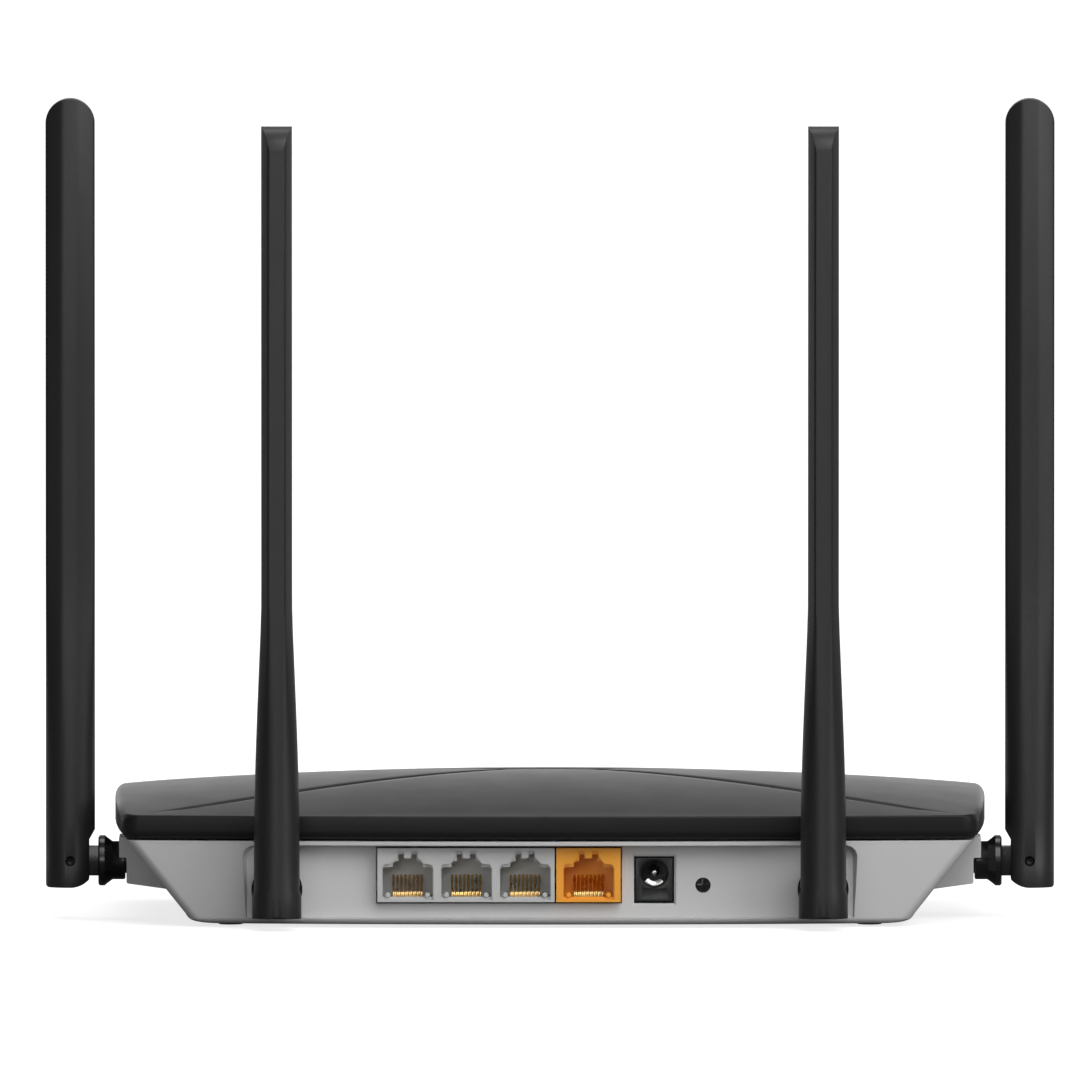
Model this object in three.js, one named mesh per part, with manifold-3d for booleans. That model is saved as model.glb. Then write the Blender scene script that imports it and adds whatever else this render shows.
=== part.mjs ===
// A desktop wireless router with four folding antennas: a crowned top cover on a flared bottom shell, the
// board with its sockets and chips between them, and four antennas on knuckles that swivel and fold.
// Millimetres, +Z up. The sockets face +Y, the status lights are near the -Y edge, the feet stand on z = 0.
import * as THREE from "three";
import { mergeVertices } from "three/addons/utils/BufferGeometryUtils.js";
import Module from "manifold-3d";

const wasm = await Module();
wasm.setup();

// ---------- driving dimensions ----------
const wall = 2;
const gap = 0.3; // between neighbours that touch or turn in each other

const cover = { halfWidth: 104.5, halfDepth: 65, corner: 4, seamZ: 21.2, rimZ: 26.9 };
const crownRise = { middle: 7.8, sag: 4, endFall: 0.4 }; // above the rim, and how it drops towards the ends
const bulge = { rear: 0.1, front: 0.15, side: 0.02 }; // how far each edge bows, as a share of the half size
const crease = { cornerX: 100, ridgeX: 10, radius: 0.6 }; // grooves from the corners to a short ridge

const shell = { topZ: cover.seamZ - gap, bottomZ: 0.8, slopeZ: 2.4, corner: 2.5, innerCorner: 1.5 };
const shellTop = { halfWidth: 103.3, rear: 63.6, front: -63.6 };
const shellFoot = { halfWidth: 88.2, rear: 62.2, front: -52 };
const floorTopZ = shell.bottomZ + wall;

const panelY = 57.5; // outer face of the port panel
const recess = { halfWidth: 73.6, bottomZ: 2.4, topZ: 19.6, corner: 2.5 };
const socketY = panelY + 2.5; // front faces of the network sockets
const socketTopZ = 19.1;

const board = { halfWidth: 58, front: -42, rear: 54.5, thickness: 1.6, topZ: 5.9 };
const lan = { firstX: 6, pitch: 14.05, count: 3, x0: -1.1, x1: 41.3 };
const wan = { x: -9.2, x0: -16.9, x1: -1.5 };
const powerFaceY = panelY - 0.6;
const power = { x: -24.9, halfWidth: 4.5, topZ: 16.7, depth: 14, boreZ: 12.9, boreRadius: 3.1 };
const reset = { x: -36.6, z: 10.1, holeRadius: 1.85, headRadius: 1.5, travel: 1.2 };

const stem = { radius: 3.1, boreRadius: 1.3, reach: 13.5 }; // reach: from the fold pin to the casing
const hingePin = { radius: 1.1, halfLength: 4.8 };
const tongue = { halfHeight: 3.6, halfWidth: 2.5 };
const flange = { radius: 6.1, fromPin: 6.7 };
const blade = { halfWidth: 5.9, top: 183, foot: 6.35, slimFrom: 68 };
const slim = { crest: 1.9, halfThickness: 3.7, edge: 2 }; // the upper blade: flat crests, bevels, flat edges
const rearAntenna = { x: 65.3, y: panelY + stem.reach, z: 9.4 };
const sideAntenna = { x: 115.1, y: 22, z: 14 };

const caseScrewSpots = [[-68, 32], [68, 32], [-68, -30], [68, -30]];
const boardScrewSpots = [[-52, 24], [52, -34]];
const standoffSpots = [[52, 24], [-52, -34]];
const footSpots = [[-76.5, 44], [76.5, 44], [-75, -24], [75, -24]];
const corners = ["rear_left", "rear_right", "front_left", "front_right"];
const screw = { shank: 1.1, hole: 1.4, postRadius: 4.2, postTopZ: 14, seatZ: 4.2 };
const foot = { radius: 3.2, topZ: 1.4 };
const lights = { xs: [-15, -5, 5, 15], y: -38, radius: 1 };
const label = { halfWidth: 22, y0: 8, y1: 34, thickness: 0.2 };
const vent = { xs: [-33, 33], halfLength: 11, width: 1.8, firstY: -30, pitch: 5, rows: 6 };

// ---------- materials ----------
const finish = (color, roughness, metalness = 0) =>
  new THREE.MeshStandardMaterial({ color, roughness, metalness });
const satinBlack = finish(0x2b2b2b, 0.5);
const antennaBlack = finish(0x222222, 0.6);
const knuckleBlack = finish(0x111111, 0.3);
const shellGrey = finish(0xb4b4b4, 0.55);
const socketGrey = finish(0xb9bcbc, 0.5);
const socketOrange = finish(0xf2a01e, 0.5);
const jackBlack = finish(0x1a1a1a, 0.45);
const boardGreen = finish(0x1d5a36, 0.4);
const chipBlack = finish(0x1c1c1e, 0.5);
const gold = finish(0xc9a24a, 0.3, 1);
const steel = finish(0xb8b8b8, 0.35, 1);
const aluminium = finish(0xc4c6c8, 0.4, 1);
const rubber = finish(0x6a6a6a, 0.85);
const clearPlastic = finish(0xe8f0f0, 0.15);
const labelStock = finish(0xd9d9d9, 0.6);
const leadBlack = finish(0x2a2a2a, 0.6);

// ---------- solids ----------
function solidOf(geometry) {
  geometry.deleteAttribute("normal");
  geometry.deleteAttribute("uv");
  const merged = mergeVertices(geometry, 1e-4);
  return new wasm.Manifold(
    new wasm.Mesh({
      numProp: 3,
      vertProperties: merged.attributes.position.array,
      triVerts: new Uint32Array(merged.index.array),
    }),
  );
}

function mesh(name, solid, material) {
  const { vertProperties, triVerts } = solid.getMesh();
  const geometry = new THREE.BufferGeometry();
  geometry.setAttribute("position", new THREE.BufferAttribute(vertProperties, 3));
  geometry.setIndex(new THREE.BufferAttribute(triVerts, 1));
  geometry.computeVertexNormals();
  const made = new THREE.Mesh(geometry, material);
  made.name = name;
  return made;
}

// A box between two opposite corners.
function block([x0, y0, z0], [x1, y1, z1]) {
  const geometry = new THREE.BoxGeometry(x1 - x0, y1 - y0, z1 - z0);
  geometry.translate((x0 + x1) / 2, (y0 + y1) / 2, (z0 + z1) / 2);
  return solidOf(geometry);
}

// A piece turned about Z: the profile holds [radius, height] pairs, from the axis up and back to the axis.
function turned(profile, sides = 16) {
  const points = profile.map(([radius, height]) => new THREE.Vector2(radius, height));
  const geometry = new THREE.LatheGeometry(points, sides);
  geometry.rotateX(Math.PI / 2);
  return solidOf(geometry);
}

function rod(radius, z0, z1, sides = 16) {
  return turned([[0, z0], [radius, z0], [radius, z1], [0, z1]], sides);
}

const upAt = (solid, [x, y]) => solid.translate([x, y, 0]);
const alongX = (solid) => solid.rotate([0, 90, 0]);
const alongY = (solid) => solid.rotate([-90, 0, 0]);

// An outline of [x, z] points, pushed along Y from y0 to y1.
function slab(points, y0, y1) {
  const shape = new THREE.Shape(points.map(([x, z]) => new THREE.Vector2(x, z)));
  const geometry = new THREE.ExtrudeGeometry(shape, { depth: y1 - y0, bevelEnabled: false });
  geometry.rotateX(Math.PI / 2);
  geometry.translate(0, y1, 0);
  return solidOf(geometry);
}

// A round section pushed along a smooth curve through [x, y, z] points.
function tube(points, radius, steps, sides) {
  const curve = new THREE.CatmullRomCurve3(points.map((point) => new THREE.Vector3(...point)));
  const section = new THREE.Shape();
  section.absarc(0, 0, radius, 0, 2 * Math.PI);
  return solidOf(
    new THREE.ExtrudeGeometry(section, { steps, curveSegments: sides / 2, extrudePath: curve }),
  );
}

// Joins rings of equally many points, anticlockwise and listed from the bottom up, and caps both ends.
function loft(rings, bottomPole, topPole) {
  const count = rings[0].length;
  const positions = rings.flat(2);
  const [bottom, top] = [bottomPole, topPole].map((pole) => positions.push(...pole) / 3 - 1);
  const last = (rings.length - 1) * count;
  const index = [];
  for (let i = 0; i < count; i++) {
    const next = (i + 1) % count;
    for (let row = 0; row < last; row += count)
      index.push(row + i, row + next, row + next + count, row + i, row + next + count, row + i + count);
    index.push(bottom, next, i, top, last + i, last + next);
  }
  const geometry = new THREE.BufferGeometry();
  geometry.setAttribute("position", new THREE.Float32BufferAttribute(positions, 3));
  geometry.setIndex(index);
  return solidOf(geometry);
}

// ---------- outline and crown of the casings ----------
// A rounded rectangle with bowed edges, as a ring of [x, y, z] points; z is a height or a height(x, y).
function outline(halfWidth, rear, front, corner, z) {
  const halfDepth = (rear - front) / 2;
  const middle = (rear + front) / 2;
  const points = [];
  const straight = (from, to, steps) => {
    for (let i = 0; i < steps; i++)
      points.push([from[0] + ((to[0] - from[0]) * i) / steps, from[1] + ((to[1] - from[1]) * i) / steps]);
  };
  const round = (x, y, start, steps) => {
    for (let i = 0; i < steps; i++) {
      const angle = start + (Math.PI / 2) * (i / steps);
      points.push([x + corner * Math.cos(angle), y + corner * Math.sin(angle)]);
    }
  };
  const x = halfWidth - corner;
  const y = halfDepth - corner;
  straight([halfWidth, -y], [halfWidth, y], 2);
  round(x, y, 0, 4);
  straight([x, halfDepth], [-x, halfDepth], 6);
  round(-x, y, Math.PI / 2, 4);
  straight([-halfWidth, y], [-halfWidth, -y], 2);
  round(-x, -y, Math.PI, 4);
  straight([-x, -halfDepth], [x, -halfDepth], 6);
  round(x, -y, 1.5 * Math.PI, 4);
  return points.map(([px, py]) => {
    const bow = py > 0 ? bulge.rear : bulge.front;
    const bowedX = px * (1 - bulge.side * (py / halfDepth) ** 2);
    const bowedY = middle + py * (1 - bow * (px / halfWidth) ** 2);
    return [bowedX, bowedY, typeof z === "function" ? z(bowedX, bowedY) : z];
  });
}

// How far the cover's edge is from its middle line at x.
function edgeDepth(x, y) {
  const bow = y > 0 ? bulge.rear : bulge.front;
  return cover.halfDepth * (1 - bow * (x / cover.halfWidth) ** 2);
}

// Height of the cover's outer skin.
function crown(x, y) {
  const across = Math.abs(x) / cover.halfWidth;
  const rise = crownRise.middle - crownRise.sag * across ** 2 - crownRise.endFall * across ** 16;
  return cover.rimZ + rise * Math.max(0, 1 - (y / edgeDepth(x, y)) ** 2);
}

function coverRing(inset, z, scale = 1) {
  const depth = (cover.halfDepth - inset) * scale;
  const corner = Math.max(cover.corner - inset, 1.5) * scale;
  return outline((cover.halfWidth - inset) * scale, depth, -depth, corner, z);
}

// One level of the shell's sloping wall, moved inwards by inset at the sides and by depthInset at the ends.
function shellRing(z, inset = 0, depthInset = inset, corner = shell.corner) {
  const share = (z - shell.slopeZ) / (shell.topZ - shell.slopeZ);
  const at = (key) => shellFoot[key] + (shellTop[key] - shellFoot[key]) * share;
  return outline(at("halfWidth") - inset, at("rear") - depthInset, at("front") + depthInset, corner, z);
}

// ---------- casings ----------
function topCover() {
  const skinScales = [0.84, 0.62, 0.38, 0.16];
  const skin = (inset, height) => skinScales.map((scale) => coverRing(inset, height, scale));
  const underside = (x, y) => crown(x, y) - wall;
  const outer = loft(
    [
      coverRing(2.6, cover.seamZ),
      coverRing(0.8, cover.seamZ + 0.7),
      coverRing(0, cover.seamZ + 2.2),
      coverRing(0, (x, y) => crown(x, y) - 0.9),
      coverRing(0.9, crown),
      ...skin(0.9, crown),
    ],
    [0, 0, cover.seamZ],
    [0, 0, crown(0, 0)],
  );
  const inner = loft(
    [
      coverRing(wall + 2.6, cover.seamZ - 1),
      coverRing(wall + 1, cover.seamZ + 2.2),
      coverRing(wall + 1, (x, y) => Math.max(underside(x, y) - 0.6, cover.seamZ + 2.6)),
      ...skin(wall + 1, underside),
    ],
    [0, 0, cover.seamZ - 1],
    [0, 0, underside(0, 0)],
  );
  let solid = outer.subtract(inner);
  for (const [x, y] of caseScrewSpots) {
    const post = rod(3.4, screw.postTopZ + gap, crown(x, y) - 1);
    const pilot = rod(screw.hole, 0, screw.postTopZ + 8, 12);
    solid = solid.add(upAt(post, [x, y])).subtract(upAt(pilot, [x, y]));
  }
  for (const x of lights.xs)
    solid = solid.subtract(upAt(rod(lights.radius + gap, cover.seamZ, 40, 12), [x, lights.y]));
  for (const groove of creases()) solid = solid.subtract(groove);
  return mesh("top_cover", solid, satinBlack);
}

// The grooves that part the cover's top into four facets: four diagonals and the ridge between them.
function creases() {
  const onSkin = (x, y) => [x, y, crown(x, y) + 0.2];
  const grooves = [];
  const { cornerX, ridgeX, radius } = crease;
  for (const sideX of [-1, 1])
    for (const sideY of [-1, 1]) {
      const path = [];
      for (let step = 0; step <= 6; step++) {
        const share = step / 6;
        const x = sideX * (ridgeX + (cornerX + 4 - ridgeX) * share);
        path.push(onSkin(x, sideY * (edgeDepth(cornerX, sideY) + 2) * share));
      }
      grooves.push(tube(path, radius, 12, 6));
    }
  grooves.push(tube([onSkin(-ridgeX, 0), onSkin(0, 0), onSkin(ridgeX, 0)], radius, 3, 6));
  return grooves;
}

// The hollow boss on the flared +X side wall that carries a side antenna, with the hood over the antenna's
// collar and the room inside.
function sideBoss() {
  const endX = sideAntenna.x - stem.reach;
  const hoodX = endX + 1.8;
  const { y, z } = sideAntenna;
  const profile = [[88, 6.9], [endX, 8.8], [endX, 14.9], [hoodX, 14.9], [hoodX, 20], [97, 20]];
  const body = slab(profile, y - 7, y + 7);
  const room = slab([[84, 7.9], [endX - wall, 9.9], [endX - wall, 22], [84, 22]], y - 5, y + 5);
  const bore = rod(stem.radius + gap, 95, 110).add(rod(4.6 + gap, endX, 110));
  return { body, cuts: room.add(alongX(bore).translate([0, y, z])) };
}

function portPanelCuts() {
  const { halfWidth, bottomZ, topZ, corner } = recess;
  const rounded = [[halfWidth, bottomZ], [halfWidth, topZ - corner]];
  for (let step = 1; step < 4; step++) {
    const angle = (Math.PI / 2) * (step / 4);
    rounded.push([halfWidth - corner * (1 - Math.cos(angle)), topZ - corner * (1 - Math.sin(angle))]);
  }
  rounded.push([halfWidth - corner, topZ]);
  const mirrored = rounded.map(([x, z]) => [-x, z]).reverse();
  const front = panelY + 1;
  const back = panelY - wall - 1;
  const low = board.topZ - 0.2;
  const powerHalf = power.halfWidth + gap;
  let cuts = slab([...rounded, ...mirrored], panelY, 70)
    .add(block([wan.x0 - gap, back, low], [lan.x1 + gap, front, socketTopZ + 0.2]))
    .add(block([power.x - powerHalf, back, low], [power.x + powerHalf, front, power.topZ + gap]))
    .add(alongY(rod(reset.holeRadius, back, front)).translate([reset.x, 0, reset.z]));
  for (const x of [-rearAntenna.x, rearAntenna.x])
    cuts = cuts.add(alongY(rod(stem.radius + gap, back, front)).translate([x, 0, rearAntenna.z]));
  return cuts;
}

// Slots for air and the label's shallow pocket.
function undersideCuts() {
  const { halfWidth, y0, y1, thickness } = label;
  const pocketZ = shell.bottomZ + 2 * thickness;
  let cuts = block([-halfWidth - gap, y0 - gap, 0], [halfWidth + gap, y1 + gap, pocketZ]);
  const { xs, halfLength, width, firstY, pitch, rows } = vent;
  for (const x of xs)
    for (let row = 0; row < rows; row++) {
      const y = firstY + row * pitch;
      cuts = cuts.add(block([x - halfLength, y, 0], [x + halfLength, y + width, floorTopZ + 1]));
    }
  return cuts;
}

function bottomShell() {
  const { topZ, bottomZ, slopeZ, corner, innerCorner } = shell;
  const outer = loft(
    [outline(82, 60, -49.8, corner, bottomZ), outline(85.8, 61.6, -51.4, corner, bottomZ + 0.5),
      shellRing(slopeZ), shellRing(topZ)],
    [0, 0, bottomZ],
    [0, 0, topZ],
  );
  const cavity = loft(
    [outline(84, 59.2, -49, innerCorner, floorTopZ), shellRing(floorTopZ + 1, 2.8, 2.2, innerCorner),
      shellRing(topZ + 1, 2.8, 2.2, innerCorner)],
    [0, 0, floorTopZ],
    [0, 0, topZ + 1],
  );
  const panelHalf = recess.halfWidth + wall;
  const panel = block([-panelHalf, panelY - wall, 0], [panelHalf, 70, topZ + 2]);
  const { body, cuts } = sideBoss();
  let solid = outer.subtract(cavity.subtract(panel)).add(body).add(body.mirror([1, 0, 0]));
  solid = solid.subtract(cuts).subtract(cuts.mirror([1, 0, 0])).subtract(portPanelCuts());
  for (const spot of caseScrewSpots)
    solid = solid
      .add(upAt(rod(screw.postRadius, floorTopZ - 1, screw.postTopZ), spot))
      .subtract(upAt(rod(screw.hole, 0, screw.postTopZ + 1, 12), spot))
      .subtract(upAt(rod(3, 0, screw.seatZ), spot));
  for (const spot of [...boardScrewSpots, ...standoffSpots])
    solid = solid.add(upAt(rod(2.6, floorTopZ - 1, board.topZ - board.thickness - gap, 12), spot));
  for (const spot of boardScrewSpots) solid = solid.subtract(upAt(rod(1.3, floorTopZ - 1, 8, 12), spot));
  for (const spot of footSpots)
    solid = solid.subtract(upAt(rod(foot.radius + gap, 0, foot.topZ + gap), spot));
  return mesh("bottom_shell", solid.subtract(undersideCuts()), shellGrey);
}

function casingFittings() {
  const made = [];
  footSpots.forEach((spot, i) => {
    const { radius, topZ } = foot;
    const pad = turned([[0, 0], [radius - 0.4, 0], [radius, 0.4], [radius, topZ], [0, topZ]]);
    made.push(mesh(`foot_${corners[i]}`, upAt(pad, spot), rubber));
  });
  caseScrewSpots.forEach((spot, i) => {
    const headZ = screw.seatZ - 0.2;
    const profile = [[0, headZ - 1.6], [2, headZ - 1.6], [2.6, headZ - 1], [2.6, headZ], [screw.shank, headZ],
      [screw.shank, screw.postTopZ + 6], [0, screw.postTopZ + 7]];
    const cross = block([-1.5, -0.3, 0], [1.5, 0.3, headZ - 0.8]);
    const solid = turned(profile, 12).subtract(cross).subtract(cross.rotate([0, 0, 90]));
    made.push(mesh(`case_screw_${corners[i]}`, upAt(solid, spot), steel));
  });
  const sheet = block(
    [-label.halfWidth, label.y0, shell.bottomZ],
    [label.halfWidth, label.y1, shell.bottomZ + label.thickness],
  );
  made.push(mesh("underside_label", sheet, labelStock));
  return made;
}

// Clear pipes that carry the status lights from the board up through the cover.
function lightGuide() {
  const barZ = 10;
  const reachX = lights.xs.at(-1) + 2;
  let solid = block([-reachX, lights.y - 1.6, barZ], [reachX, lights.y + 1.6, barZ + 2]);
  for (const x of lights.xs)
    solid = solid.add(upAt(rod(lights.radius, barZ + 1, crown(x, lights.y) - 0.1, 12), [x, lights.y]));
  return mesh("light_guide", solid, clearPlastic);
}

// ---------- board ----------
function mainBoard() {
  const { halfWidth, front, rear, thickness, topZ } = board;
  let plate = block([-halfWidth, front, topZ - thickness], [halfWidth, rear, topZ]);
  for (const spot of boardScrewSpots) plate = plate.subtract(upAt(rod(1.4, 0, 10, 12), spot));
  return mesh("main_board", plate, boardGreen);
}

// A block of the given size that stands on the board.
function onBoard([x, y], [width, depth, height], lift = gap) {
  const z = board.topZ + lift;
  return block([x - width / 2, y - depth / 2, z], [x + width / 2, y + depth / 2, z + height]);
}

function radioShield(spot) {
  return onBoard(spot, [26, 18, 2.4]).subtract(onBoard(spot, [25.2, 17.2, 2], gap - 0.1));
}

function heatSink(spot, lift) {
  const size = 22;
  let solid = onBoard(spot, [size, size, 1.5], lift);
  for (let fin = 0; fin < 6; fin++) {
    const x = spot[0] - size / 2 + 0.5 + fin * 4.2;
    solid = solid.add(onBoard([x, spot[1]], [1, size, 8], lift));
  }
  return solid;
}

function boardParts() {
  const chipSpot = [4, 2];
  const chipHeight = 1.6;
  const z = board.topZ + gap;
  const parts = [
    mesh("processor", onBoard(chipSpot, [15, 15, chipHeight]), chipBlack),
    mesh("heat_sink", heatSink(chipSpot, chipHeight + 2 * gap), aluminium),
    mesh("radio_shield_left", radioShield([-34, 2]), steel),
    mesh("radio_shield_right", radioShield([36, 2]), steel),
    mesh("lan_transformer", onBoard([20, 30], [26, 11, 6]), chipBlack),
    mesh("wan_transformer", onBoard([-9.2, 30], [14, 11, 5]), chipBlack),
    mesh("capacitor_1", upAt(rod(3.5, z, z + 11), [-25, 36]), aluminium),
    mesh("capacitor_2", upAt(rod(3.5, z, z + 11), [-34, 36]), aluminium),
    mesh("inductor", onBoard([-24.5, 24], [9, 9, 1]).add(upAt(rod(4, z, z + 4), [-24.5, 24])), chipBlack),
  ];
  lights.xs.forEach((x, i) => {
    parts.push(mesh(`status_led_${i + 1}`, onBoard([x, lights.y], [2, 1.4, 0.9]), clearPlastic));
  });
  boardScrewSpots.forEach((spot, i) => {
    const headZ = board.topZ + 0.2;
    const profile = [[0, 3.2], [0.9, 3.2], [0.9, headZ], [2.2, headZ], [2, headZ + 1.3], [0, headZ + 1.3]];
    parts.push(mesh(`board_screw_${i + 1}`, upAt(turned(profile, 12), spot), steel));
  });
  return parts;
}

// ---------- sockets ----------
// The room that a network plug enters: the plug's body and the two steps of its latch.
function plugRoom(x) {
  const back = socketY - 13;
  const front = socketY + 1;
  return block([x - 5.95, back, 7.4], [x + 5.95, front, 14.5])
    .add(block([x - 3.5, back, 14], [x + 3.5, front, 15.9]))
    .add(block([x - 2.2, back, 15], [x + 2.2, front, 17.6]));
}

function networkSocket(name, xs, x0, x1, material) {
  let solid = block([x0, socketY - 18, board.topZ + gap], [x1, socketY, socketTopZ]);
  for (const x of xs) solid = solid.subtract(plugRoom(x));
  return mesh(name, solid, material);
}

// Eight spring wires on one bar, rising towards the back of a network socket.
function contactComb(name, x) {
  const barY = socketY - 3;
  let solid = block([x - 4.2, barY, 7.7], [x + 4.2, barY + 1.5, 8.5]);
  for (let wire = 0; wire < 8; wire++) {
    const spring = slab([[0, 7.9], [0.6, 7.9], [9, 9.8], [9, 10.2]], -0.22, 0.22).rotate([0, 0, -90]);
    solid = solid.add(spring.translate([x + (wire - 3.5) * 1.02, barY + 1, 0]));
  }
  return mesh(name, solid, gold);
}

function powerSocket() {
  const { x, halfWidth, topZ, depth, boreZ, boreRadius } = power;
  const back = powerFaceY - depth;
  const bore = alongY(rod(boreRadius, back + 3, powerFaceY + 1, 20)).translate([x, 0, boreZ]);
  const pinHole = alongY(rod(1.3, back - 1, back + 4, 12)).translate([x, 0, boreZ]);
  const springRoom = block([x - 1.6, back + 3, 8.2], [x + 1.6, powerFaceY + 1, 11]);
  const body = block([x - halfWidth, back, board.topZ + gap], [x + halfWidth, powerFaceY, topZ]);
  const pin = turned([[0, 0.5], [1, 0.5], [1, depth - 3.2], [0.6, depth - 2.4], [0, depth - 2.4]], 12);
  const leaf = slab([[0, 8.5], [9, 8.5], [9, 9], [5, 9.7], [0, 9]], -1.2, 1.2).rotate([0, 0, 90]);
  return [
    mesh("power_jack", body.subtract(bore).subtract(pinHole).subtract(springRoom), jackBlack),
    mesh("power_pin", alongY(pin).translate([x, back, boreZ]), steel),
    mesh("power_spring", leaf.translate([x, back + 3.5, 0]), steel),
  ];
}

// The reset button, whose plunger is a cross in the round hole, and the switch that it presses.
function resetPieces() {
  const headY = panelY - 0.6;
  const collarY = panelY - wall - gap;
  const tailY = collarY - 1.8;
  const profile = [[0, tailY], [1.1, tailY], [1.1, collarY - 1], [2.6, collarY - 1], [2.6, collarY],
    [0, collarY]];
  const arm = block([-reset.headRadius, collarY - 0.5, -0.3], [reset.headRadius, headY, 0.3]);
  const plunger = alongY(turned(profile, 12)).add(arm).add(arm.rotate([0, 90, 0]));
  const switchY = tailY - reset.travel - 0.2;
  const body = block([-3, switchY - 4.5, board.topZ + gap], [3, switchY - 1, reset.z + 2.4]);
  const actuator = alongY(rod(1, switchY - 2, switchY, 12)).translate([0, 0, reset.z]);
  return [
    mesh("reset_button", plunger.translate([reset.x, 0, reset.z]), knuckleBlack),
    mesh("reset_switch", body.add(actuator).translate([reset.x, 0, 0]), chipBlack),
  ];
}

// ---------- antennas ----------
// Each antenna is made with its fold pin along Y through the origin, its blade up Z and the casing at -X.
// A level of the blade: eight points, with crests of half width crest and edges of half height edge.
function bladeRing(z, halfWidth, crest, halfThickness, edge) {
  const quarter = [[halfWidth, edge], [crest, halfThickness]];
  const turnedBack = quarter.map(([x, y]) => [-x, y]).reverse();
  const rear = [...quarter, ...turnedBack];
  const front = rear.map(([x, y]) => [-x, -y]);
  return [...rear, ...front].map(([x, y]) => [x, y, z]);
}

function sleeve() {
  const { halfWidth, top, foot: footRadius, slimFrom } = blade;
  const { crest, halfThickness, edge } = slim;
  const domeZ = top - halfWidth;
  const rings = [
    bladeRing(-footRadius, halfWidth, 2.6, 5.9, 2.7),
    bladeRing(-0.6, halfWidth, 2.6, 5.9, 2.7),
    bladeRing(0.4, halfWidth, 2.6, 5.5, 2.6),
    bladeRing(20, halfWidth, 2.5, 5.4, 2.6),
    bladeRing(44, halfWidth, 2.2, 4.7, 2.3),
    bladeRing(slimFrom, halfWidth, crest, halfThickness, edge),
    bladeRing(domeZ, halfWidth, crest, halfThickness, edge),
  ];
  // the round end cuts across the bevels, so they run out towards the tip
  for (const share of [0.3, 0.55, 0.75, 0.9, 0.98]) {
    const level = halfWidth * Math.sqrt(1 - share ** 2);
    const bevelShare = (halfWidth - level) / (halfWidth - crest);
    const edgeHere = edge + (halfThickness - edge) * Math.min(0.98, bevelShare);
    const crestHere = Math.min(crest, level - 0.1);
    rings.push(bladeRing(domeZ + halfWidth * share, level, crestHere, halfThickness, edgeHere));
  }
  const notchX = -4.5;
  const heel = [[-8, 7.5], [-halfWidth, 7.5], [notchX, 5.1]];
  const start = Math.PI + Math.acos(-notchX / footRadius);
  for (let step = 0; step <= 5; step++) {
    const angle = start + (1.5 * Math.PI - start) * (step / 5);
    heel.push([footRadius * Math.cos(angle), footRadius * Math.sin(angle)]);
  }
  heel.push([0, -8], [-8, -8]);
  const room = tongue.halfHeight + gap;
  const slotY = tongue.halfWidth + gap;
  return loft(rings, [0, 0, -footRadius], [0, 0, top])
    .subtract(slab(heel, -7, 7))
    .subtract(block([-8, -slotY, -8], [room, slotY, room]))
    .subtract(alongY(rod(hingePin.radius + gap, -7, 7, 12)))
    .subtract(rod(2.3, 0, 156, 12));
}

function knuckle() {
  const { halfHeight, halfWidth } = tongue;
  const { fromPin, radius } = flange;
  const wallBack = stem.reach + wall;
  const profile = [[0, fromPin], [radius, fromPin], [radius, fromPin + 1.8], [4.6, fromPin + 3.3],
    [4.6, stem.reach - gap], [stem.radius, stem.reach - gap], [stem.radius, wallBack + gap],
    [stem.radius + 0.6, wallBack + 0.7], [stem.radius - 0.2, wallBack + 3], [0, wallBack + 3]];
  const mount = turned(profile, 16).subtract(rod(stem.boreRadius, 3.2, 25, 12)).rotate([0, -90, 0]);
  return alongY(rod(halfHeight, -halfWidth, halfWidth, 16))
    .add(block([-fromPin - 0.5, -halfWidth, -halfHeight], [0, halfWidth, halfHeight]))
    .subtract(alongX(rod(stem.boreRadius, -20, -3.2, 12)))
    .add(mount)
    .subtract(alongY(rod(hingePin.radius + gap, -7, 7, 12)));
}

// The brass rod and sleeve inside the blade that send and receive.
function radiator() {
  return turned([[0, 12], [0.6, 12], [0.6, 60], [1.8, 60], [1.8, 96], [0.6, 96], [0.6, 150], [0, 150]], 12);
}

function antenna(side, { x, y, z }, turn) {
  const group = new THREE.Group();
  const pin = alongY(rod(hingePin.radius, -hingePin.halfLength, hingePin.halfLength, 12));
  group.add(mesh(`${side}_antenna_sleeve`, sleeve(), antennaBlack));
  group.add(mesh(`${side}_antenna_knuckle`, knuckle(), knuckleBlack));
  group.add(mesh(`${side}_antenna_pin`, pin, steel));
  group.add(mesh(`${side}_antenna_radiator`, radiator(), gold));
  group.position.set(x, y, z);
  group.rotation.z = turn;
  return group;
}

// Thin leads from the board to the antennas, along the inside of the casing and into the hollow stems.
function antennaLead(name, side, points) {
  const path = points.map(([x, y, z]) => [side * x, y, z]);
  return mesh(name, tube(path, 0.65, 16, 8), leadBlack);
}

// ---------- the router ----------
const router = new THREE.Group();
router.add(topCover(), bottomShell(), lightGuide(), ...casingFittings(), mainBoard(), ...boardParts());
const lanXs = Array.from({ length: lan.count }, (_, i) => lan.firstX + i * lan.pitch);
router.add(networkSocket("lan_jack_block", lanXs, lan.x0, lan.x1, socketGrey));
lanXs.forEach((x, i) => router.add(contactComb(`lan_contacts_${i + 1}`, x)));
router.add(networkSocket("wan_jack", [wan.x], wan.x0, wan.x1, socketOrange));
router.add(contactComb("wan_contacts", wan.x));
router.add(...powerSocket(), ...resetPieces());

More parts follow.
